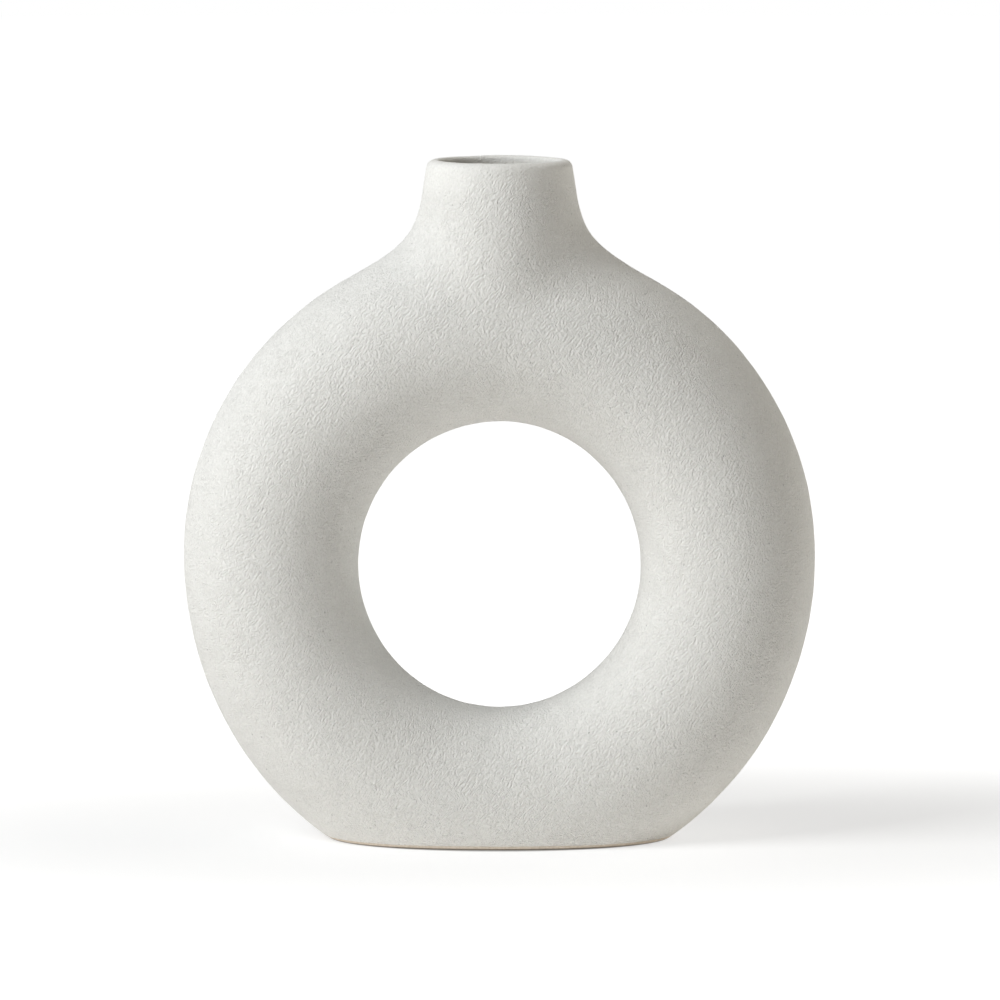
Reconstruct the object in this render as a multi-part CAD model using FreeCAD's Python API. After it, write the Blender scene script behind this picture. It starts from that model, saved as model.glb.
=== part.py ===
import FreeCAD, Part
import math
import os

V = FreeCAD.Vector
os.makedirs("parts", exist_ok=True)

# Donut vase: a hollow tube bent into an upright ring, a short open neck on its crown and
# a flat foot. Sizes are in millimetres. The foot stands on z = 0, the ring lies in the
# XZ plane, the front looks along -Y.

# ring, measured over the finished coat
ring_width = 240
crown_reach = 120.6
lower_reach = 128.6
foot_cut = 20.5
hole_width = 107.3
hole_height = 110
hole_drop = 3.3
tube_depth = 65

# neck, and the sweep that carries it into the crown
neck_rise = 30.2
neck_seat_drop = 11.7
neck_lean_share = 0.148
sweep_reach = 58.3
sweep_depth_share = 0.99
neck_pull_share = 0.395
side_pull_share = 0.534
front_pull_share = 0.3

# throat and lip, measured over the coat
throat_radius = 22.6
throat_length = 16
rim_wall = 4.65
lip_outside_share = 0.69
lip_inside_share = 0.3

# the layers of the wall: sanded coat outside, fired clay, glaze inside
coat_thickness = 0.5
clay_wall = 5
liner_thickness = 0.3

# foot
foot_slab_thickness = 6
foot_ring_width = 8
foot_hollow_depth = 1.2
foot_edge_round = 0.8
bare_band_height = 2

# how finely the curved skins are worked out
around_steps = 24
across_steps = 24
sweep_steps = 48
slope_steps = 1000

ring_centre_height = lower_reach - foot_cut
vase_height = ring_centre_height + crown_reach + neck_rise
neck_seat = vase_height - neck_seat_drop
neck_radius = throat_radius + rim_wall + neck_lean_share * neck_seat_drop
throat_foot = vase_height - throat_length
lip_outside = rim_wall * lip_outside_share
lip_inside = rim_wall * lip_inside_share

# the neck piece sits on the ring at the level where the crown of the tube is deepest
crown_thickness = crown_reach + hole_drop - hole_height / 2
collar_seat = ring_centre_height + crown_reach - crown_thickness / 2

clay_inset = coat_thickness
space_inset = clay_inset + clay_wall
glaze_inset = space_inset + liner_thickness
foot_hollow_inset = clay_inset + foot_ring_width
clay_throat_radius = throat_radius + coat_thickness
glaze_throat_radius = clay_throat_radius - liner_thickness
clay_lip_inside = lip_inside - coat_thickness
clay_top = vase_height - coat_thickness
beyond = ring_width + vase_height
close = coat_thickness / slope_steps


def tube_point(around, across, inset):
    # Angle around goes round the ring, nought at the right side and a quarter turn at the
    # crown. Angle across goes round the tube, nought at the outer edge, a quarter turn at
    # the front, half a turn at the hole. The outer edge is a half ellipse above the
    # centre and a deeper one below it, the hole is an ellipse set a little lower. The
    # tube's section is the ellipse that spans from the one to the other.
    reach = (crown_reach if around >= 0 else lower_reach) - inset
    hole_rise = hole_height / 2 + inset
    outer_x = (ring_width / 2 - inset) * math.cos(around)
    outer_z = ring_centre_height + reach * math.sin(around)
    inner_x = (hole_width / 2 + inset) * math.cos(around)
    inner_z = ring_centre_height - hole_drop + hole_rise * math.sin(around)
    mid_x = (outer_x + inner_x) / 2
    mid_z = (outer_z + inner_z) / 2
    x = mid_x + (outer_x - mid_x) * math.cos(across)
    z = mid_z + (outer_z - mid_z) * math.cos(across)
    return V(x, -(tube_depth / 2 - inset) * math.sin(across), z)


def crown_angles(reach, turn, inset):
    # the two angles of the crown point a given reach from the neck's axis
    across = math.asin(reach * math.sin(turn) / (tube_depth / 2 - inset))
    outer = ring_width / 2 - inset
    inner = hole_width / 2 + inset
    half_span = (outer + inner) / 2 + (outer - inner) / 2 * math.cos(across)
    return math.acos(reach * math.cos(turn) / half_span), across


def crown_height(reach, turn, inset):
    return tube_point(*crown_angles(reach, turn, inset), inset).z


def join_reach(turn, inset):
    # how far out the sweep lands on the ring, an ellipse in plan
    side = sweep_reach - inset
    front = (tube_depth / 2 - inset) * sweep_depth_share
    return side * front / math.hypot(front * math.cos(turn), side * math.sin(turn))


def sweep_profile(turn, inset, radius, height, lean):
    # One profile of the sweep, in the upright plane through the neck's axis: a cubic
    # curve that leaves along the side of the neck and lands along the slope of the ring.
    reach = join_reach(turn, inset)
    z = crown_height(reach, turn, inset)
    small = reach / slope_steps
    fall = crown_height(reach - small, turn, inset) - crown_height(reach + small, turn, inset)
    slope = fall / (2 * small)
    chord = math.hypot(reach - radius, height - z)
    pull = side_pull_share * math.cos(turn) ** 2 + front_pull_share * math.sin(turn) ** 2
    leave = neck_pull_share * chord / math.hypot(1, lean)
    land = pull * chord / math.hypot(1, slope)
    profile = [(radius, height),
               (radius + lean * leave, height - leave),
               (reach - land, z + slope * land),
               (reach, z)]
    return [V(r * math.cos(turn), -r * math.sin(turn), h) for r, h in profile]


def through(points):
    # smooth curve through points that are numbered evenly along it
    last = len(points) - 1
    curve = Part.BSplineCurve()
    curve.interpolate(Points=points, Parameters=[i / last for i in range(last + 1)])
    return curve


def skin(rows, profile=None):
    # Smooth surface through rows of points. With a profile the rows are already poles of
    # that kind of curve, and only the other direction is fitted.
    if profile is None:
        profile = through(rows[0])
        rows = [through(row).getPoles() for row in rows]
    columns = [through(list(column)) for column in zip(*rows)]
    poles = zip(*[column.getPoles() for column in columns])
    lead = columns[0]
    surface = Part.BSplineSurface()
    surface.buildFromPolesMultsKnots([list(row) for row in poles],
                                     lead.getMultiplicities(), profile.getMultiplicities(),
                                     lead.getKnots(), profile.getKnots(),
                                     False, False, lead.Degree, profile.Degree)
    return surface.toShape()


def whole(inset, radius, height, lean, stem):
    # A closed lump: the ring, the sweep up to the given radius and height, and the stem,
    # whose edges are turned about the neck's axis. One quarter is made and mirrored.
    turns = [math.pi / 2 * i / sweep_steps for i in range(sweep_steps + 1)]
    joins = [crown_angles(join_reach(turn, inset), turn, inset) for turn in turns]
    rise = joins[0][0] + math.pi / 2
    lower = []
    for i in range(around_steps + 1):
        around = rise * i / around_steps - math.pi / 2
        lower.append([tube_point(around, math.pi * k / across_steps, inset)
                      for k in range(across_steps + 1)])
    upper = []
    for around, across in joins:
        upper.append([tube_point(around, across + (math.pi - across) * k / across_steps, inset)
                      for k in range(across_steps + 1)])
    sweep = [sweep_profile(turn, inset, radius, height, lean) for turn in turns]
    cubic = Part.BezierCurve()
    cubic.setPoles(sweep[0])
    right = [skin(lower), skin(upper), skin(sweep, cubic.toBSpline())]
    for edge in stem:
        right.append(edge.revolve(V(0, 0, 0), V(0, 0, 1), -90))
    left = [face.mirror(V(0, 0, 0), V(1, 0, 0)) for face in right]
    back = [face.mirror(V(0, 0, 0), V(0, 1, 0)) for face in right + left]
    return closed(right + left + back)


def closed(faces):
    shape = Part.makeCompound(faces)
    shape.sewShape()
    solid = Part.Solid(shape.Shells[0])
    if solid.Volume < 0:
        solid.reverse()
    return solid


def line(start, end):
    return Part.makeLine(V(start[0], 0, start[1]), V(end[0], 0, end[1]))


def bow(centre, size, first, last):
    # arc in the XZ plane from one angle to another
    points = []
    for angle in (first, (first + last) / 2, last):
        x = centre[0] + size * math.cos(angle)
        points.append(V(x, 0, centre[1] + size * math.sin(angle)))
    return Part.Arc(*points).toShape()


def filled(inset):
    # the vase as a lump without any space inside, its skin set in by inset
    radius = neck_radius - inset
    top = vase_height - inset
    lip = lip_outside - inset
    slant = math.atan(neck_lean_share)
    meet_z = top - lip + lip * math.sin(slant)
    meet_r = radius - neck_lean_share * (meet_z - neck_seat)
    centre = (meet_r - lip * math.cos(slant), top - lip)
    stem = [line((radius, neck_seat), (meet_r, meet_z)),
            bow(centre, lip, slant, math.pi / 2),
            line((centre[0], top), (0, top))]
    return whole(inset, radius, neck_seat, neck_lean_share, stem)


def stump(inset):
    # the same lump without the neck above its sweep
    radius = neck_radius - inset
    stem = [line((radius, neck_seat), (0, neck_seat))]
    return whole(inset, radius, neck_seat, neck_lean_share, stem)


def throat_edges(radius, top, lip):
    # side of the throat: straight, opened out at the lip and carried on above it
    return [line((radius, throat_foot), (radius, top - lip)),
            bow((radius + lip, top - lip), lip, math.pi, math.pi / 2),
            line((radius + lip, top), (radius + lip, beyond)),
            line((radius + lip, beyond), (0, beyond))]


def space(inset, radius):
    # what is empty inside the vase, with the throat
    stem = throat_edges(radius, clay_top, clay_lip_inside)
    return whole(inset, radius, throat_foot, 0, stem)


def throat(radius, top, lip):
    edges = throat_edges(radius, top, lip)
    edges += [line((0, beyond), (0, throat_foot)), line((0, throat_foot), (radius, throat_foot))]
    face = Part.Face(Part.Wire(edges))
    return face.revolve(V(0, 0, 0), V(0, 0, 1), 360)


def slice_of(lump, low, high, front=False):
    # the part of a lump between two levels, or only the front half of that part
    back = 0 if front else beyond
    box = Part.makeBox(2 * beyond, beyond + back, high - low, V(-beyond, -beyond, low))
    return lump.common(box).Solids[0]


def same_plane(a, b):
    if a.Surface.TypeId != "Part::GeomPlane" or b.Surface.TypeId != "Part::GeomPlane":
        return False
    away = abs(a.Surface.Axis.dot(b.Surface.Position - a.Surface.Position))
    return a.Surface.Axis.cross(b.Surface.Axis).Length < close and away < close


def between(outer, inner):
    # what lies between two lumps, one inside the other, that end on the same flat sides
    faces = []
    used = []
    for a in outer.Faces:
        mates = [b for b in inner.Faces if same_plane(a, b)]
        for b in mates:
            faces += a.cut(b).Faces + b.cut(a).Faces
        if not mates:
            faces.append(a)
        used += mates
    faces += [b for b in inner.Faces if not any(b.isSame(c) for c in used)]
    return closed(faces)


def save(shape, name):
    shape.exportStep("parts/" + name + ".step")


coated = filled(0)
clay = filled(clay_inset)
inside = space(space_inset, clay_throat_radius)
glazed = space(glaze_inset, glaze_throat_radius)

# The ring is pressed as a front and a back half shell that meet on a flat seam. Flat
# seats are left for the foot slab below and for the neck piece on the crown.
front_lump = slice_of(clay, foot_slab_thickness, collar_seat, True)
front_space = slice_of(inside, foot_slab_thickness, collar_seat, True)
front_half = between(front_lump, front_space)
save(front_half, "ring_front_half")
save(front_half.mirror(V(0, 0, 0), V(0, 1, 0)), "ring_back_half")

# the neck with the shoulder that closes the crown
collar = slice_of(clay, collar_seat, vase_height)
collar_space = slice_of(inside, collar_seat, beyond)
save(collar.cut(collar_space).removeSplitter(), "neck_collar")

# the slab that closes the foot, hollowed underneath so that only its rim stands
slab = slice_of(clay, 0, foot_slab_thickness)
rim = [edge for edge in slab.Edges if edge.BoundBox.ZMax < close]
slab = slab.makeFillet(foot_edge_round, rim)
hollow = slice_of(stump(foot_hollow_inset), 0, foot_hollow_depth)
save(between(slab, hollow), "foot_slab")

# the sanded coat: all of the outside down to the bare band, over the lip, down the throat
coat_outside = slice_of(coated, bare_band_height, vase_height)
coat_inside = slice_of(clay, bare_band_height, vase_height)
coat_outside = coat_outside.cut(throat(throat_radius, vase_height, lip_inside))
coat_inside = coat_inside.cut(throat(clay_throat_radius, clay_top, clay_lip_inside))
save(between(coat_outside, coat_inside).removeSplitter(), "slip_coat")

# the glaze that lines the inside up to the end of the coat in the throat
glaze_outside = slice_of(inside, foot_slab_thickness, throat_foot)
glaze_inside = slice_of(glazed, foot_slab_thickness + liner_thickness, throat_foot)
save(between(glaze_outside, glaze_inside), "liner_glaze")
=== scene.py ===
import math
import bmesh
import bpy
import numpy as np
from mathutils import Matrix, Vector


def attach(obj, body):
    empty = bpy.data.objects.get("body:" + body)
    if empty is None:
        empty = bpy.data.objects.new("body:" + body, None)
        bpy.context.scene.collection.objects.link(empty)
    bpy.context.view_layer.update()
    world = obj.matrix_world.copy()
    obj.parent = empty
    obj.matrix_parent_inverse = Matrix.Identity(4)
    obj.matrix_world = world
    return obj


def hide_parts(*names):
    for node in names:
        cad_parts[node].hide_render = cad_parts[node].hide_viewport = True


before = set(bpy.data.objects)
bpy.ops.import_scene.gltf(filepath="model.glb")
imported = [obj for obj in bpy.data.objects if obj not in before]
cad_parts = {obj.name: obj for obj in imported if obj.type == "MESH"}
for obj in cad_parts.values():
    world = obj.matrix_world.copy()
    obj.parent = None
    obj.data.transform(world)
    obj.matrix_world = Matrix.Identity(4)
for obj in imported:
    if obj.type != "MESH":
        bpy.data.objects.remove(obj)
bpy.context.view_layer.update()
print("frame loaded:", sorted(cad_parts))

# shape of the vase in metres, the same sizes as the CAD part
vase = dict(
    ringWidth=0.240,
    crownReach=0.1206,      # from the ring's centre up to its outer curve
    lowerReach=0.1286,      # and down to it
    footCut=0.0205,         # the foot cuts this much off the lower curve
    holeWidth=0.1073,
    holeHeight=0.110,
    holeDrop=0.0033,        # the hole's centre lies this much below the ring's
    tubeDepth=0.065,
    neckRise=0.0302,        # from the crown up to the lip
    neckSeatDrop=0.0117,    # from the lip down to where the sweep begins
    neckLean=0.148,         # how fast the neck widens downwards
    sweepReach=0.0583,      # where the sweep lands on the ring at the sides
    sweepDepth=0.99,        # and at the front, as a share of half the tube's depth
    neckPull=0.395,         # how far the sweep keeps the neck's direction,
    sidePull=0.534,         # the ring's at the sides
    frontPull=0.3,          # and the ring's at the front, as shares of its chord
    throatRadius=0.0226,
    throatLength=0.016,
    rimWall=0.00465,
    lipOutside=0.69,        # the lip's outer and inner rounding, as shares of the wall
    lipInside=0.30,
)
ringCentre = vase["lowerReach"] - vase["footCut"]
vaseTop = ringCentre + vase["crownReach"] + vase["neckRise"]
neckSeat = vaseTop - vase["neckSeatDrop"]
neckRadius = vase["throatRadius"] + vase["rimWall"] + vase["neckLean"] * vase["neckSeatDrop"]

# distances in metres that count as none, and the half step that a slope is measured over
fine = dict(merge=1e-6, sliver=1e-7, slopeStep=1e-5)


def tubePoint(around, across):
    # A point of the ring's skin: around turns about the hole, across about the tube.
    # At one angle around, one point lies on the ring's outer curve and one on the hole's.
    # x and z are the middle of the two, plus half their difference times the cosine of across;
    # y is minus half the tube's depth times the sine of across.
    reach = np.where(around >= 0, vase["crownReach"], vase["lowerReach"])
    outerX = vase["ringWidth"] / 2 * np.cos(around)
    outerZ = ringCentre + reach * np.sin(around)
    innerX = vase["holeWidth"] / 2 * np.cos(around)
    innerZ = ringCentre - vase["holeDrop"] + vase["holeHeight"] / 2 * np.sin(around)
    x = (outerX + innerX) / 2 + (outerX - innerX) / 2 * np.cos(across)
    z = (outerZ + innerZ) / 2 + (outerZ - innerZ) / 2 * np.cos(across)
    y = -vase["tubeDepth"] / 2 * np.sin(across)
    return np.stack([x, y, z], -1)


def crownAngles(reach, turn):
    # The angles around and across of the skin below a point of the plan, which lies at reach
    # from the neck's axis in the direction turn: across is the arcsine of its distance to the
    # front over half the tube's depth, and around is the arccosine of its distance to the side
    # over the ring's half width at that across.
    across = np.arcsin(np.clip(reach * np.sin(turn) / (vase["tubeDepth"] / 2), -1, 1))
    outer = vase["ringWidth"] / 2
    inner = vase["holeWidth"] / 2
    span = (outer + inner) / 2 + (outer - inner) / 2 * np.cos(across)
    return np.arccos(np.clip(reach * np.cos(turn) / span, -1, 1)), across


def joinReach(turn):
    # An ellipse in plan, as a distance from its middle: the product of both half axes, over the
    # root of the sum of two squares, front times the cosine of turn and side times its sine.
    side = vase["sweepReach"]
    front = vase["tubeDepth"] / 2 * vase["sweepDepth"]
    return side * front / np.hypot(front * np.cos(turn), side * np.sin(turn))


def sweepPoint(turn, along):
    # A cubic curve in each direction turn, from the neck's seat (along 0) to the ring (along 1):
    # the sum of four control points times the Bernstein weights of along. The second point lies
    # down the neck's slant and the third up the ring's slope, each by its pull times the chord.
    reach = joinReach(turn)
    half = fine["slopeStep"]
    low = tubePoint(*crownAngles(reach, turn))[..., 2]
    before = tubePoint(*crownAngles(reach - half, turn))[..., 2]
    after = tubePoint(*crownAngles(reach + half, turn))[..., 2]
    fall = (before - after) / (2 * half)
    chord = np.hypot(reach - neckRadius, neckSeat - low)
    pull = vase["sidePull"] * np.cos(turn) ** 2 + vase["frontPull"] * np.sin(turn) ** 2
    leave = vase["neckPull"] * chord / math.hypot(1, vase["neckLean"])
    land = pull * chord / np.hypot(1, fall)
    radii = [neckRadius + 0 * reach, neckRadius + vase["neckLean"] * leave, reach - land, reach]
    heights = [neckSeat + 0 * reach, neckSeat - leave, low + fall * land, low]
    rest = 1 - along
    weights = [rest ** 3, 3 * along * rest ** 2, 3 * along * along * rest, along ** 3]
    radius = sum(weight * value for weight, value in zip(weights, radii))
    height = sum(weight * value for weight, value in zip(weights, heights))
    return np.stack([radius * np.cos(turn), -radius * np.sin(turn), height], -1)


def gridFaces(rows, columns, first):
    # Quads of a grid whose points are numbered row by row: each point, the next one in its row,
    # and the same two in the next row.
    row, column = np.meshgrid(np.arange(rows - 1), np.arange(columns - 1), indexing="ij")
    corner = first + row * columns + column
    return np.stack([corner, corner + 1, corner + columns + 1, corner + columns], -1).reshape(-1, 4)


def mirrored(points, faces):
    # a quarter and its mirror images in x, in both and in y; one mirroring turns the faces round
    flips = np.array([[1, 1, 1], [-1, 1, 1], [-1, -1, 1], [1, -1, 1]])
    allPoints = np.concatenate([points * flip for flip in flips])
    allFaces = []
    for number, flip in enumerate(flips):
        turned = faces if flip.prod() > 0 else faces[:, ::-1]
        allFaces.append(turned + number * len(points))
    return allPoints, np.concatenate(allFaces)


def newPiece(name, grids):
    # grids of a quarter of the piece, mirrored and written to a mesh; seams are merged later
    points = []
    faces = []
    first = 0
    for grid in grids:
        rows, columns = grid.shape[:2]
        points.append(grid.reshape(-1, 3))
        faces.append(gridFaces(rows, columns, first))
        first += rows * columns
    points, faces = mirrored(np.concatenate(points), np.concatenate(faces))
    mesh = bpy.data.meshes.new(name)
    mesh.vertices.add(len(points))
    mesh.vertices.foreach_set("co", points.astype(np.float32).ravel())
    mesh.loops.add(faces.size)
    mesh.loops.foreach_set("vertex_index", faces.astype(np.int32).ravel())
    mesh.polygons.add(len(faces))
    mesh.polygons.foreach_set("loop_start", np.arange(0, faces.size, faces.shape[1], dtype=np.int32))
    mesh.update(calc_edges=True)
    mesh.validate()
    piece = bpy.data.objects.new(name, mesh)
    bpy.context.scene.collection.objects.link(piece)
    return piece


def shadeSmooth(piece):
    piece.data.polygons.foreach_set("use_smooth", np.ones(len(piece.data.polygons), bool))


# the sanded coat
coat = dict(
    aroundSteps=142,
    acrossSteps=54,
    turnSteps=44,
    sweepSteps=28,
    throatSteps=10,
    lipInSteps=6,
    lipOutSteps=10,
    slantSteps=6,
    bandHeight=0.0016,                                  # where the coat stops above the foot
    thickness=0.00045,
    waveLengths=(0.006, 0.013),                         # fine unevenness of the sanded surface
    waveDepth=0.00005,
    waveCount=60,
    bodyLengths=(0.030, 0.080),                         # slow unevenness of the hand-made body
    bodyDepth=0.00012,
    bodyCount=24,
    seed=11,
)


def rimProfile():
    # Radii and heights of a line up the throat, round the lip and down the neck to its seat:
    # the throat is upright, the lip is a quarter circle inside, a narrow flat and a wider arc
    # outside, which ends where its direction is the neck's, and the neck's side is straight.
    lipOut = vase["rimWall"] * vase["lipOutside"]
    lipIn = vase["rimWall"] * vase["lipInside"]
    slant = math.atan(vase["neckLean"])
    meetZ = vaseTop - lipOut + lipOut * math.sin(slant)
    meetR = neckRadius - vase["neckLean"] * (meetZ - neckSeat)
    throat = np.linspace(0, 1, coat["throatSteps"] + 1)[:-1]
    bendIn = np.linspace(math.pi, math.pi / 2, coat["lipInSteps"] + 1)
    bendOut = np.linspace(math.pi / 2, slant, coat["lipOutSteps"] + 1)
    side = np.linspace(0, 1, coat["slantSteps"] + 1)[1:]
    radii = [
        vase["throatRadius"] + 0 * throat,
        vase["throatRadius"] + lipIn + lipIn * np.cos(bendIn),
        meetR - lipOut * math.cos(slant) + lipOut * np.cos(bendOut),
        meetR + side * (neckRadius - meetR),
    ]
    heights = [
        vaseTop - vase["throatLength"] + throat * (vase["throatLength"] - lipIn),
        vaseTop - lipIn + lipIn * np.sin(bendIn),
        vaseTop - lipOut + lipOut * np.sin(bendOut),
        meetZ + side * (neckSeat - meetZ),
    ]
    return np.concatenate(radii), np.concatenate(heights)


def coatGrids():
    # Four grids over a quarter of the vase: the ring from the foot up to the sweep, the crown's
    # side towards the hole, the sweep from the neck's seat to the ring, and the profile of neck
    # and lip carried round the axis.
    turns = np.linspace(0, math.pi / 2, coat["turnSteps"] + 1)
    joinAround, joinAcross = crownAngles(joinReach(turns), turns)
    share = np.linspace(0, 1, coat["acrossSteps"] + 1)
    rise = np.linspace(0, 1, coat["aroundSteps"] + 1)
    around = -math.pi / 2 + (joinAround[0] + math.pi / 2) * rise
    ring = tubePoint(*np.meshgrid(around, math.pi * share, indexing="ij"))
    across = joinAcross[:, None] + (math.pi - joinAcross[:, None]) * share
    crown = tubePoint(*np.broadcast_arrays(joinAround[:, None], across))
    along = np.linspace(1, 0, coat["sweepSteps"] + 1)
    sweep = sweepPoint(*np.meshgrid(turns, along, indexing="ij"))[:, ::-1]
    radii, heights = rimProfile()
    turn, radius = np.meshgrid(turns, radii, indexing="ij")
    height = np.broadcast_to(heights, radius.shape)
    neck = np.stack([radius * np.cos(turn), -radius * np.sin(turn), height], -1)
    return [ring, crown, sweep, neck]


def waves(points, lengths, depth, count, seed):
    # The depth times the sum of sine waves in random directions, with random lengths between
    # the two given and random phases, over the root of twice their number.
    random = np.random.default_rng(seed)
    direction = random.normal(size=(count, 3))
    direction /= np.linalg.norm(direction, axis=1)[:, None]
    length = random.uniform(lengths[0], lengths[1], count)
    phase = random.uniform(0, 2 * math.pi, count)
    total = np.zeros(len(points))
    for k in range(count):
        total += np.sin(2 * math.pi * (points @ direction[k]) / length[k] + phase[k])
    return depth * total / math.sqrt(2 * count)


def roughen(piece):
    # each point moves along its normal by the fine and the slow waves less their mean
    count = len(piece.data.vertices)
    place = np.zeros(count * 3)
    normal = np.zeros(count * 3)
    piece.data.vertices.foreach_get("co", place)
    piece.data.vertices.foreach_get("normal", normal)
    place = place.reshape(-1, 3)
    normal = normal.reshape(-1, 3)
    print("coat normals point out:", bool(normal[place[:, 2].argmax(), 2] > 0))
    shift = waves(place, coat["waveLengths"], coat["waveDepth"], coat["waveCount"], coat["seed"])
    shift += waves(place, coat["bodyLengths"], coat["bodyDepth"], coat["bodyCount"], coat["seed"] + 1)
    shift -= shift.mean()
    place += normal * shift[:, None]
    piece.data.vertices.foreach_set("co", place.ravel())
    piece.data.update()


def makeCoat():
    # the skin with its seams merged, cut off level above the foot, and given its wall inwards
    piece = newPiece("sandedCoat", coatGrids())
    work = bmesh.new()
    work.from_mesh(piece.data)
    bmesh.ops.remove_doubles(work, verts=work.verts, dist=fine["merge"])
    bmesh.ops.recalc_face_normals(work, faces=work.faces)
    whole = work.verts[:] + work.edges[:] + work.faces[:]
    bmesh.ops.bisect_plane(work, geom=whole, dist=fine["merge"], plane_co=(0, 0, coat["bandHeight"]),
                           plane_no=(0, 0, 1), clear_inner=True)
    work.normal_update()
    work.to_mesh(piece.data)
    work.free()
    roughen(piece)
    shadeSmooth(piece)
    wall = piece.modifiers.new("wall", "SOLIDIFY")
    wall.thickness = coat["thickness"]
    wall.offset = -1
    return piece


sandedCoat = makeCoat()
print("coat:", len(sandedCoat.data.polygons), "faces")

# the foot of bare clay
foot = dict(
    turnSteps=56,
    slabThickness=0.006,
    bandTop=0.0016,
    backInset=0.0008,           # how far the clay lies behind the skin where the coat covers it
    bandInset=0.00015,          # and on the bare band
    stepDrop=0.00002,           # the step between them lies this much below the coat's edge
    edgeHeight=0.0006,          # the undercut at the standing edge
    edgeDepth=0.0014,
    edgeSteps=6,
    ringWidth=0.008,            # the ring that stands, from the skin to the hollow
    hollowDepth=0.0012,
    hollowSlope=0.0004,         # half the width of the slope into the hollow
    slopeShare=0.3,             # how deep the middle of that slope lies, as a share
    closing=(0, 0.3, 0.6, 0.9),     # rows that close the slab, as shares of the way out
    sharpAngle=50,
)


def footOutline(turn, height):
    # The skin's outline at a height: across is its angle at the front, where the tube's lowest
    # line has that height, times the sine of turn, and around is the arcsine of the height from
    # the middle over the ring's half height at that across.
    outer = vase["lowerReach"]
    inner = vase["holeHeight"] / 2
    drop = vase["holeDrop"]
    frontCos = (height - ringCentre + drop / 2 + (outer + inner) / 2) / (drop / 2 - (outer - inner) / 2)
    across = np.arccos(np.clip(frontCos, -1, 1)) * np.sin(turn)
    span = (outer + inner) / 2 + (outer - inner) / 2 * np.cos(across)
    above = height - ringCentre + drop * (1 - np.cos(across)) / 2
    around = np.arcsin(np.clip(above / span, -1, 1))
    return tubePoint(around, across)


def footRows():
    # Height, inset and share of each row: over the slab's top, down the back, out to the band,
    # a quarter ellipse under the standing edge, over the ring and into the hollow.
    top = foot["slabThickness"]
    back = foot["backInset"]
    band = foot["bandInset"]
    step = foot["bandTop"] - foot["stepDrop"]
    rim = foot["ringWidth"]
    slope = foot["hollowSlope"]
    hollow = foot["hollowDepth"]
    rows = [(top, back, share) for share in foot["closing"]]
    rows += [(top, back, 1), (step, back, 1), (step, band, 1)]
    for bend in np.linspace(0, math.pi / 2, foot["edgeSteps"] + 1):
        height = foot["edgeHeight"] * (1 - math.sin(bend))
        rows.append((height, band + foot["edgeDepth"] * (1 - math.cos(bend)), 1))
    rows += [(0, rim - slope, 1), (hollow * foot["slopeShare"], rim, 1), (hollow, rim + slope, 1)]
    rows += [(hollow, rim + slope, share) for share in reversed(foot["closing"])]
    return np.array(rows)


def makeFoot():
    # One grid of turns and rows over a quarter: a row is the skin's outline at its height, moved
    # in along the outline's normal by its inset and then drawn to the middle by its share.
    height, inset, share = footRows().T[:, None, :]
    turn = np.linspace(0, math.pi / 2, foot["turnSteps"] + 1)[:, None]
    grid = footOutline(turn, height)
    tangent = np.gradient(grid, axis=0)
    tangent[0, :, 0] = 0
    tangent[-1, :, 1] = 0
    length = np.hypot(tangent[..., 0], tangent[..., 1])
    grid[..., 0] += tangent[..., 1] / length * inset
    grid[..., 1] -= tangent[..., 0] / length * inset
    grid[..., :2] *= share[..., None]
    grid[..., 2] = height
    piece = newPiece("clayFoot", [grid])
    work = bmesh.new()
    work.from_mesh(piece.data)
    bmesh.ops.remove_doubles(work, verts=work.verts, dist=fine["merge"])
    bmesh.ops.dissolve_degenerate(work, edges=work.edges, dist=fine["sliver"])
    bmesh.ops.recalc_face_normals(work, faces=work.faces)
    closed = all(len(edge.link_faces) == 2 for edge in work.edges)
    print("foot closed:", closed, "volume", work.calc_volume(signed=True))
    work.to_mesh(piece.data)
    work.free()
    shadeSmooth(piece)
    piece.data.set_sharp_from_angle(angle=math.radians(foot["sharpAngle"]))
    return piece


clayFoot = makeFoot()
print("foot:", len(clayFoot.data.polygons), "faces")


# materials
def setInput(tree, socket, value):
    # a socket gets a link or a fixed value, and None leaves it as it is
    if isinstance(value, bpy.types.NodeSocket):
        tree.links.new(value, socket)
    elif value is not None:
        socket.default_value = value


def addNode(tree, kind, **settings):
    # a node with its settings; names that aren't properties are input sockets
    node = tree.nodes.new(kind)
    for key, value in settings.items():
        if hasattr(node, key):
            setattr(node, key, value)
        else:
            setInput(tree, node.inputs[key], value)
    return node


def mathNode(tree, operation, first, second=None, clamp=False):
    node = addNode(tree, "ShaderNodeMath", operation=operation, use_clamp=clamp)
    setInput(tree, node.inputs[0], first)
    setInput(tree, node.inputs[1], second)
    return node.outputs["Value"]


def vectorNode(tree, operation, first, second=None, scale=None):
    node = addNode(tree, "ShaderNodeVectorMath", operation=operation)
    setInput(tree, node.inputs[0], first)
    setInput(tree, node.inputs[1], second)
    if scale is not None:
        setInput(tree, node.inputs["Scale"], scale)
    return node.outputs["Value" if operation == "LENGTH" else "Vector"]


def rangeNode(tree, value, low, high, start=0.0, end=1.0, kind="LINEAR"):
    # goes from start, where the value is low, to end, where it is high, and stays level beyond
    node = addNode(tree, "ShaderNodeMapRange", interpolation_type=kind, Value=value)
    limits = {"From Min": low, "From Max": high, "To Min": start, "To Max": end}
    for socket, limit in limits.items():
        node.inputs[socket].default_value = limit
    return node.outputs["Result"]


def noiseNode(tree, place, scale, detail, roughness=0.5):
    settings = dict(Vector=place, Scale=scale, Detail=detail, Roughness=roughness)
    return addNode(tree, "ShaderNodeTexNoise", **settings).outputs


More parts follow.
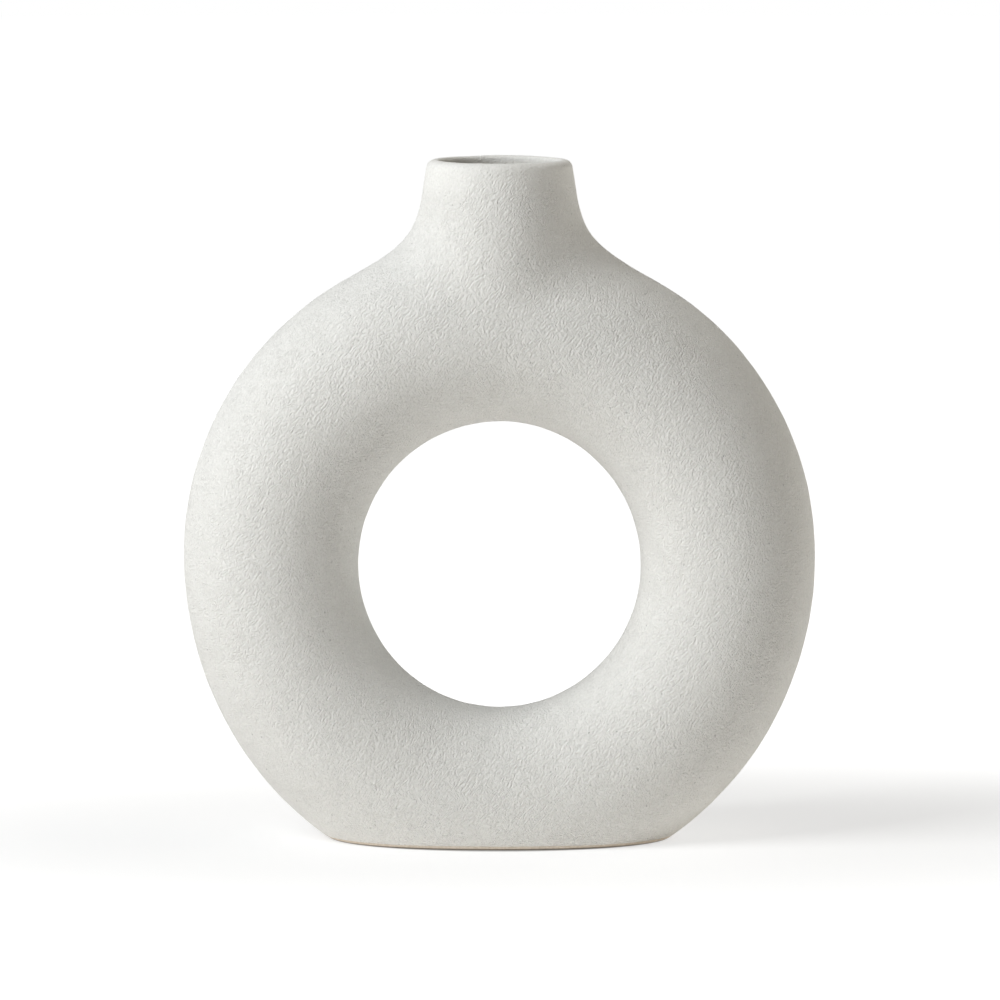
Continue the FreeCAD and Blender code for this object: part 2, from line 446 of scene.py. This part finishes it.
def rampNode(tree, value, low, lowColor, high, highColor):
    node = addNode(tree, "ShaderNodeValToRGB", Fac=value)
    stops = node.color_ramp.elements
    stops[0].position = low
    stops[0].color = lowColor
    stops[1].position = high
    stops[1].color = highColor
    return node.outputs["Color"]


noiseMiddle = 0.5                                       # a noise texture lies around this value
mixSockets = dict(share=0, start=6, end=7, mixed=2)     # the colour sockets of a Mix node


def mixNode(tree, blend, share, start, end):
    node = addNode(tree, "ShaderNodeMix", data_type="RGBA", blend_type=blend)
    setInput(tree, node.inputs[mixSockets["share"]], share)
    setInput(tree, node.inputs[mixSockets["start"]], start)
    setInput(tree, node.inputs[mixSockets["end"]], end)
    return node.outputs[mixSockets["mixed"]]


def newMaterial(name):
    # an empty material, its output node and the place on the object
    material = bpy.data.materials.new(name)
    material.use_nodes = True
    tree = material.node_tree
    tree.nodes.clear()
    out = tree.nodes.new("ShaderNodeOutputMaterial")
    place = tree.nodes.new("ShaderNodeTexCoord").outputs["Object"]
    return material, tree, out, place


def finishMaterial(tree, out, look, color, height, strength, depth):
    # the shader with its colour and with a bump of the given depth
    shader = tree.nodes.new("ShaderNodeBsdfPrincipled")
    bump = addNode(tree, "ShaderNodeBump", Strength=strength, Distance=depth, Height=height)
    tree.links.new(color, shader.inputs["Base Color"])
    tree.links.new(bump.outputs["Normal"], shader.inputs["Normal"])
    shader.inputs["Roughness"].default_value = look["roughness"]
    shader.inputs["Specular IOR Level"].default_value = look["specular"]
    tree.links.new(shader.outputs["BSDF"], out.inputs["Surface"])


slip = dict(
    pale=(0.905, 0.899, 0.879, 1),
    dull=(0.885, 0.878, 0.856, 1),
    cloudScale=60,                      # soft clouds between the two colours
    cloudDetail=3.0,
    cloudLow=0.3,
    cloudHigh=0.7,
    ridgeScale=1200,                    # crumpled ridges
    ridgeDetail=1.0,
    ridgeRoughness=0.4,
    ridgeSharp=5.0,
    ridgeDepth=0.00024,
    strokes=((-0.80, 1.0), (0.90, 0.6)),    # turn in radians and share of each set of strokes
    strokeStretch=2.6,
    warpScale=500,                      # how far the ridges wander
    warpDetail=1.0,
    warpReach=0.0003,
    patchScale=110,                     # patches where they fade
    patchDetail=2.0,
    patchLow=0.30,
    patchHigh=0.62,
    patchFloor=0.8,
    lipStart=0.246,                     # heights between which they are worn down to a share
    lipEnd=0.262,
    lipShare=0.2,
    grainScale=1500,                    # sand grain
    grainDetail=1.0,
    grainDepth=0.00028,
    pitScale=220,                       # sparse pinholes
    pitCore=0.04,
    pitSize=0.10,
    pitDepth=0.00012,
    # painted shade: the colour in a pinhole's core darkens to this share
    pitPaintedShade=0.72,
    dustScale=1100,                     # fine dark specks
    dustDetail=1.0,
    dustLow=0.3,
    dustHigh=0.7,
    dustShade=0.93,
    throatPaintedShade=(0.68, 0.65, 0.58, 1),  # painted shade: the inside of the throat is darkened and warmed where the neck lies in shade
    # heights between which the painted throat shade grows, and the radius and floor that bound it
    throatHigh=0.2572,
    throatLow=0.2530,
    throatRadius=0.0238,
    throatBottom=0.2372,
    bumpStrength=1.0,
    roughness=0.9,
    specular=0.3,
)


def slipRidges(tree, place, height):
    # The ridges run where a noise passes through its middle: one less the sharpness times the
    # noise's distance from it, never below zero. The noise is stretched along each set of
    # strokes and bent by a warp. The sum of the sets fades in patches and towards the lip.
    bend = noiseNode(tree, place, slip["warpScale"], slip["warpDetail"])["Color"]
    bend = vectorNode(tree, "SUBTRACT", bend, (noiseMiddle, noiseMiddle, noiseMiddle))
    bend = vectorNode(tree, "SCALE", bend, scale=slip["warpReach"])
    total = 0.0
    for turn, share in slip["strokes"]:
        line = addNode(tree, "ShaderNodeMapping", vector_type="TEXTURE", Vector=place,
                       Rotation=(0, turn, 0), Scale=(slip["strokeStretch"], 1, 1))
        line = vectorNode(tree, "ADD", line.outputs["Vector"], bend)
        line = noiseNode(tree, line, slip["ridgeScale"], slip["ridgeDetail"], slip["ridgeRoughness"])["Fac"]
        line = mathNode(tree, "ABSOLUTE", mathNode(tree, "SUBTRACT", line, noiseMiddle))
        line = mathNode(tree, "MULTIPLY", line, slip["ridgeSharp"])
        line = mathNode(tree, "SUBTRACT", 1.0, line, clamp=True)
        line = mathNode(tree, "MULTIPLY", line, share)
        total = mathNode(tree, "ADD", total, line)
    patch = noiseNode(tree, place, slip["patchScale"], slip["patchDetail"])["Fac"]
    patch = rangeNode(tree, patch, slip["patchLow"], slip["patchHigh"], slip["patchFloor"], 1.0)
    worn = rangeNode(tree, height, slip["lipStart"], slip["lipEnd"], 1.0, slip["lipShare"])
    return mathNode(tree, "MULTIPLY", mathNode(tree, "MULTIPLY", total, patch), worn)


def slipPits(tree, place):
    # 0 in the core of a pinhole and 1 outside it, by the distance from the nearest random point
    dots = addNode(tree, "ShaderNodeTexVoronoi", Vector=place, Scale=slip["pitScale"])
    return rangeNode(tree, dots.outputs["Distance"], slip["pitCore"], slip["pitSize"])


def throatShadeShare(tree, split):
    # the share of the painted shade in the throat: how far down the throat a point lies, from 0 at its edge
    # to 1, and 0 outside the throat
    squares = [mathNode(tree, "MULTIPLY", split[axis], split[axis]) for axis in ("X", "Y")]
    radius = mathNode(tree, "SQRT", mathNode(tree, "ADD", *squares))
    inside = mathNode(tree, "LESS_THAN", radius, slip["throatRadius"])
    above = mathNode(tree, "GREATER_THAN", split["Z"], slip["throatBottom"])
    inside = mathNode(tree, "MULTIPLY", inside, above)
    deep = rangeNode(tree, split["Z"], slip["throatHigh"], slip["throatLow"])
    return mathNode(tree, "MULTIPLY", inside, deep)


def makeSlip():
    # The height is the ridges plus the grain plus the pits, each by its depth. The colour is
    # clouds of two tones, times a painted shade down the throat, times the specks and a painted shade in
    # the pinholes.
    material, tree, out, place = newMaterial("sandedSlip")
    split = addNode(tree, "ShaderNodeSeparateXYZ", Vector=place).outputs
    pits = slipPits(tree, place)
    height = slipRidges(tree, place, split["Z"])
    grain = noiseNode(tree, place, slip["grainScale"], slip["grainDetail"])["Fac"]
    for layer, depth in ((grain, slip["grainDepth"]), (pits, slip["pitDepth"])):
        part = mathNode(tree, "MULTIPLY", layer, depth / slip["ridgeDepth"])
        height = mathNode(tree, "ADD", height, part)
    cloud = noiseNode(tree, place, slip["cloudScale"], slip["cloudDetail"])["Fac"]
    color = rampNode(tree, cloud, slip["cloudLow"], slip["dull"], slip["cloudHigh"], slip["pale"])
    # painted shade darkens the inside of the throat
    color = mixNode(tree, "MULTIPLY", throatShadeShare(tree, split), color, slip["throatPaintedShade"])
    dust = noiseNode(tree, place, slip["dustScale"], slip["dustDetail"])["Fac"]
    dust = rangeNode(tree, dust, slip["dustLow"], slip["dustHigh"], slip["dustShade"], 1.0)
    # painted shade in the pinholes' cores
    pitShadeTone = rangeNode(tree, pits, 0.0, 1.0, slip["pitPaintedShade"], 1.0)
    color = vectorNode(tree, "SCALE", color, scale=mathNode(tree, "MULTIPLY", dust, pitShadeTone))
    finishMaterial(tree, out, slip, color, height, slip["bumpStrength"], slip["ridgeDepth"])
    return material


clay = dict(
    color=(0.80, 0.72, 0.63, 1),
    dark=(0.71, 0.63, 0.53, 1),
    # painted shade: the dark colour of the standing edge stands in for the shadow under the foot
    edge=(0.30, 0.25, 0.20, 1),
    paintedShadeLow=0.00045,            # painted shade: the standing edge is darkened below these heights, for the shadow under the foot
    paintedShadeHigh=0.00075,
    speckScale=900,
    speckDetail=3.0,
    speckLow=0.35,
    speckHigh=0.62,
    bumpStrength=0.8,
    bumpDepth=0.00008,
    roughness=0.9,
    specular=0.5,
)


def makeClay():
    # specks of two tones, over to a painted shade near the standing plane, for the shadow under the foot's
    # edge
    material, tree, out, place = newMaterial("bareClay")
    speck = noiseNode(tree, place, clay["speckScale"], clay["speckDetail"])["Fac"]
    color = rampNode(tree, speck, clay["speckLow"], clay["dark"], clay["speckHigh"], clay["color"])
    height = addNode(tree, "ShaderNodeSeparateXYZ", Vector=place).outputs["Z"]
    unshadedShare = rangeNode(tree, height, clay["paintedShadeLow"], clay["paintedShadeHigh"])
    # painted shade: the foot's lowest edge goes over to the dark edge colour
    color = mixNode(tree, "MIX", unshadedShare, clay["edge"], color)
    finishMaterial(tree, out, clay, color, speck, clay["bumpStrength"], clay["bumpDepth"])
    return material


glaze = dict(
    color=(0.80, 0.79, 0.76, 1),
    dull=(0.74, 0.73, 0.70, 1),
    cloudScale=120,
    cloudDetail=2.0,
    bumpStrength=0.5,
    bumpDepth=0.00005,
    roughness=0.35,
    specular=0.5,
)


def makeGlaze():
    # clouds of two tones
    material, tree, out, place = newMaterial("insideGlaze")
    cloud = noiseNode(tree, place, glaze["cloudScale"], glaze["cloudDetail"])["Fac"]
    color = rampNode(tree, cloud, 0.0, glaze["dull"], 1.0, glaze["color"])
    finishMaterial(tree, out, glaze, color, cloud, glaze["bumpStrength"], glaze["bumpDepth"])
    return material


slipMaterial = makeSlip()
clayMaterial = makeClay()
glazeMaterial = makeGlaze()
sandedCoat.data.materials.append(slipMaterial)
clayFoot.data.materials.append(clayMaterial)
nodeMaterials = dict(
    ring_front_half=clayMaterial,
    ring_back_half=clayMaterial,
    neck_collar=clayMaterial,
    liner_glaze=glazeMaterial,
)
for name, material in nodeMaterials.items():
    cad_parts[name].data.materials.clear()
    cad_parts[name].data.materials.append(material)
print("materials made")

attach(sandedCoat, "root")
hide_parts("slip_coat")
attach(clayFoot, "root")
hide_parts("foot_slab")

# floor, light and camera
table = dict(
    radius=8.0,
    sides=64,
    color=(0.85, 0.85, 0.85),
    bounce=0.25,                    # warm light that it throws back on the vase
    bounceColor=(1.0, 0.93, 0.82, 1),
    glowColor=(1, 1, 1, 1),
    seenShare=0.48,                 # how the camera sees it: pale, and white farther away
    lift=0.64,
    near=0.06,
    far=0.28,
    stretch=0.5,                    # the part near the vase reaches twice as far to the sides
    footSize=(0.0644, 0.0298),      # half axes of the foot
    contactShadowSize=(0.0650, 0.0338),       # and of the painted contact shadow round its standing edge
    contactShadowShare=0.15,                  # of the lift is left at the foot, in the painted shadow
)


def seenRays(tree):
    # 1 where the camera sees it, straight, in a gloss or through glass, and 0 for other rays
    path = tree.nodes.new("ShaderNodeLightPath").outputs
    seen = mathNode(tree, "MAXIMUM", path["Is Camera Ray"], path["Is Glossy Ray"])
    return mathNode(tree, "MAXIMUM", seen, path["Is Transmission Ray"])


def tableGlow(tree, place):
    # The lift grows with the distance from the vase, so that the table goes over into white.
    # It drops round the foot in a painted contact shadow, by the share of the way from the foot's ellipse
    # to the shadow's: how far a point is outside the foot's, over how much farther it is than outside the
    # shadow's.
    wide = addNode(tree, "ShaderNodeMapping", Vector=place, Scale=(table["stretch"], 1, 1))
    away = vectorNode(tree, "LENGTH", wide.outputs["Vector"])
    lift = rangeNode(tree, away, table["near"], table["far"], table["lift"], 1.0, "SMOOTHSTEP")
    reach = []
    for size in (table["footSize"], table["contactShadowSize"]):
        oval = addNode(tree, "ShaderNodeMapping", Vector=place, Scale=(1 / size[0], 1 / size[1], 1))
        reach.append(vectorNode(tree, "LENGTH", oval.outputs["Vector"]))
    outside = mathNode(tree, "SUBTRACT", reach[0], 1.0)
    share = mathNode(tree, "DIVIDE", outside, mathNode(tree, "SUBTRACT", *reach))
    # painted shadow: the white lift drops round the foot's standing edge
    paintedShadow = rangeNode(tree, share, 0.0, 1.0, table["contactShadowShare"], 1.0, "SMOOTHSTEP")
    return mathNode(tree, "MULTIPLY", lift, paintedShadow)


def makeTable():
    # a flat disc, matt, with a warm glow for the light it throws back and a white one that only
    # the camera sees
    turn = np.linspace(0, 2 * math.pi, table["sides"] + 1)[:-1]
    rim = np.stack([np.cos(turn), np.sin(turn), 0 * turn], -1) * table["radius"]
    mesh = bpy.data.meshes.new("tabletop")
    mesh.from_pydata(rim.tolist(), [], [list(range(table["sides"]))])
    piece = bpy.data.objects.new("tabletop", mesh)
    bpy.context.scene.collection.objects.link(piece)
    material, tree, out, place = newMaterial("paleTable")
    seen = seenRays(tree)
    hidden = mathNode(tree, "SUBTRACT", 1.0, seen)
    share = mathNode(tree, "ADD", hidden, mathNode(tree, "MULTIPLY", seen, table["seenShare"]))
    tone = vectorNode(tree, "SCALE", table["color"], scale=share)
    bounce = mathNode(tree, "MULTIPLY", hidden, table["bounce"])
    glow = mathNode(tree, "MULTIPLY", seen, tableGlow(tree, place))
    parts = [
        addNode(tree, "ShaderNodeBsdfDiffuse", Color=tone),
        addNode(tree, "ShaderNodeEmission", Color=table["bounceColor"], Strength=bounce),
        addNode(tree, "ShaderNodeEmission", Color=table["glowColor"], Strength=glow),
    ]
    total = parts[0].outputs[0]
    for part in parts[1:]:
        both = tree.nodes.new("ShaderNodeAddShader")
        tree.links.new(total, both.inputs[0])
        tree.links.new(part.outputs[0], both.inputs[1])
        total = both.outputs[0]
    tree.links.new(total, out.inputs["Surface"])
    mesh.materials.append(material)
    return piece


room = dict(color=(1, 1, 1, 1), fill=0.02)


def makeRoom():
    # white where the camera sees it, and by the fill only, nearly dark, as a light
    world = bpy.data.worlds.new("whiteRoom")
    world.use_nodes = True
    tree = world.node_tree
    tree.nodes.clear()
    out = tree.nodes.new("ShaderNodeOutputWorld")
    strength = mathNode(tree, "MULTIPLY", seenRays(tree), 1 - room["fill"])
    strength = mathNode(tree, "ADD", strength, room["fill"])
    glow = addNode(tree, "ShaderNodeBackground", Color=room["color"], Strength=strength)
    tree.links.new(glow.outputs["Background"], out.inputs["Surface"])
    bpy.context.scene.world = world


makeTable()
makeRoom()


def aimed(place, target):
    # the turn that points a lamp or a camera from its place to a target
    return (Vector(target) - Vector(place)).to_track_quat("-Z", "Y").to_euler()


lampRig = dict(distance=1.8, aim=(0, 0, 0.13))      # all lamps stand this far from where they aim
lamps = dict(
    # azimuth from the camera's side, positive to the right of it, and height, both in degrees
    key=dict(azimuth=-60, height=40, size=1.0, power=29.2, color=(0.984, 1.0, 0.996)),
    backRight=dict(azimuth=120, height=12, size=1.0, power=8.8, color=(1.0, 1.0, 0.94)),
    right=dict(azimuth=90, height=55, size=1.0, power=4.4, color=(1.0, 0.9, 0.75)),
)


def addLamp(name, settings):
    azimuth = math.radians(settings["azimuth"])
    rise = math.radians(settings["height"])
    away = Vector((math.sin(azimuth) * math.cos(rise), -math.cos(azimuth) * math.cos(rise), math.sin(rise)))
    light = bpy.data.lights.new(name, "AREA")
    light.shape = "SQUARE"
    light.size = settings["size"]
    light.energy = settings["power"]
    light.color = settings["color"]
    lamp = bpy.data.objects.new(name, light)
    lamp.location = Vector(lampRig["aim"]) + lampRig["distance"] * away
    lamp.rotation_euler = aimed(lamp.location, lampRig["aim"])
    bpy.context.scene.collection.objects.link(lamp)


for name, settings in lamps.items():
    addLamp(name, settings)

view = dict(
    place=(0.0002, -2.114, 0.3957),
    aim=(0.0002, 0, 0.1296),
    lens=202.0,
    sensorWidth=36,
    clipEnd=50,
)
cameraData = bpy.data.cameras.new("camera")
cameraData.lens = view["lens"]
cameraData.sensor_width = view["sensorWidth"]
cameraData.clip_end = view["clipEnd"]
camera = bpy.data.objects.new("camera", cameraData)
camera.location = view["place"]
camera.rotation_euler = aimed(view["place"], view["aim"])
bpy.context.scene.collection.objects.link(camera)
bpy.context.scene.camera = camera
bpy.context.scene.view_settings.view_transform = "Standard"
print("stage, lamps and camera set")
